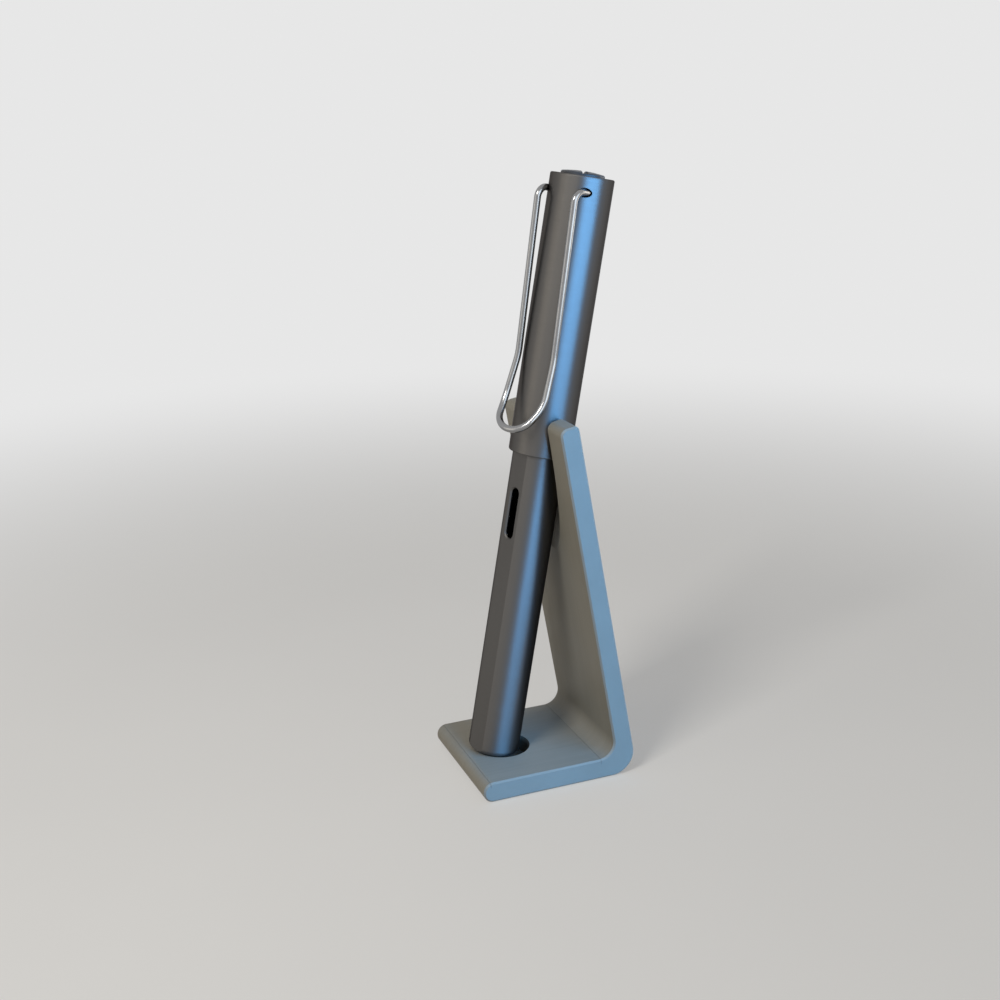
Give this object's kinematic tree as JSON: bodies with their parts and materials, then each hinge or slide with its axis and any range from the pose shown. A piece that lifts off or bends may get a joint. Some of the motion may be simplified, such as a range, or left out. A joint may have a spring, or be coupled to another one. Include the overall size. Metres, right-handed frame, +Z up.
{
  "type": "pen stand with pen",
  "caption": "Desk stand with a flat foot and forward-leaning notched upright, holding a capped pen with wire clip, ink windows and screw-piston ink converter.",
  "frame": {"origin": "centre of the stand's outline on its flat underside, midway between the front nose and the heel", "axes": "+Z up, -Y towards the open front of the stand, +X towards the stand's side that the picture shows"},
  "size_m": [0.034, 0.0412, 0.1427],
  "materials": {
    "printed_plastic": "matte warm grey print with fine layer lines",
    "anodised_aluminium": "satin graphite anodised",
    "clip_wire": "bright polished wire",
    "dark_plastic": "black moulded",
    "grip_plastic": "smoky black moulded",
    "seal_rubber": "black rubber",
    "nib_steel": "polished steel",
    "clear_plastic": "clear moulded",
    "bright_metal": "bright turned ring",
    "knob_plastic": "red moulded"
  },
  "bodies": {
    "stand": {"stand_body": "printed_plastic"},
    "barrel": {"barrel_shell": "anodised_aluminium", "barrel_thread_insert": "dark_plastic", "barrel_end_plug": "dark_plastic"},
    "section": {"grip_section": "grip_plastic", "section_ring": "seal_rubber", "nib": "nib_steel", "feed": "dark_plastic", "converter_tube": "clear_plastic", "converter_housing": "dark_plastic", "converter_collar": "bright_metal"},
    "cap": {"cap_shell": "anodised_aluminium", "cap_liner": "dark_plastic", "clip_anchor": "dark_plastic", "cap_crown": "dark_plastic"},
    "clip": {"cap_clip": "clip_wire"},
    "knob": {"converter_knob": "knob_plastic", "converter_spindle": "knob_plastic"},
    "piston": {"piston_carrier": "knob_plastic", "piston_seal": "seal_rubber"}
  },
  "joints": [
    {"name": "pen_lift", "type": "slide", "parent": "stand", "child": "barrel", "axis": [0, 0.1816, 0.9834], "range_m": [0, 0.09]},
    {"name": "section_draw", "type": "slide", "parent": "barrel", "child": "section", "axis": [0, 0.1816, 0.9834], "range_m": [0, 0.075]},
    {"name": "cap_pull", "type": "slide", "parent": "section", "child": "cap", "axis": [0, 0.1816, 0.9834], "range_m": [0, 0.06]},
    {"name": "clip_flex", "type": "hinge", "parent": "cap", "child": "clip", "pos_m": [0.00198, 0.00949, 0.13838], "axis": [-0.8957, -0.4372, 0.0807], "range_deg": [0, 4], "stiffness_Nm_per_rad": 0.6},
    {"name": "knob_turn", "type": "hinge", "parent": "section", "child": "knob", "pos_m": [0, -0.0078, 0.0228], "axis": [0, 0.1816, 0.9834], "range_deg": [0, 2304]},
    {"name": "piston_slide", "type": "slide", "parent": "section", "child": "piston", "axis": [0, 0.1816, 0.9834], "range_m": [0, 0.016]}
  ],
  "couplings": [
    {"joint": "knob_turn", "follows": "piston_slide", "rad_per_m": 2513.3}
  ]
}
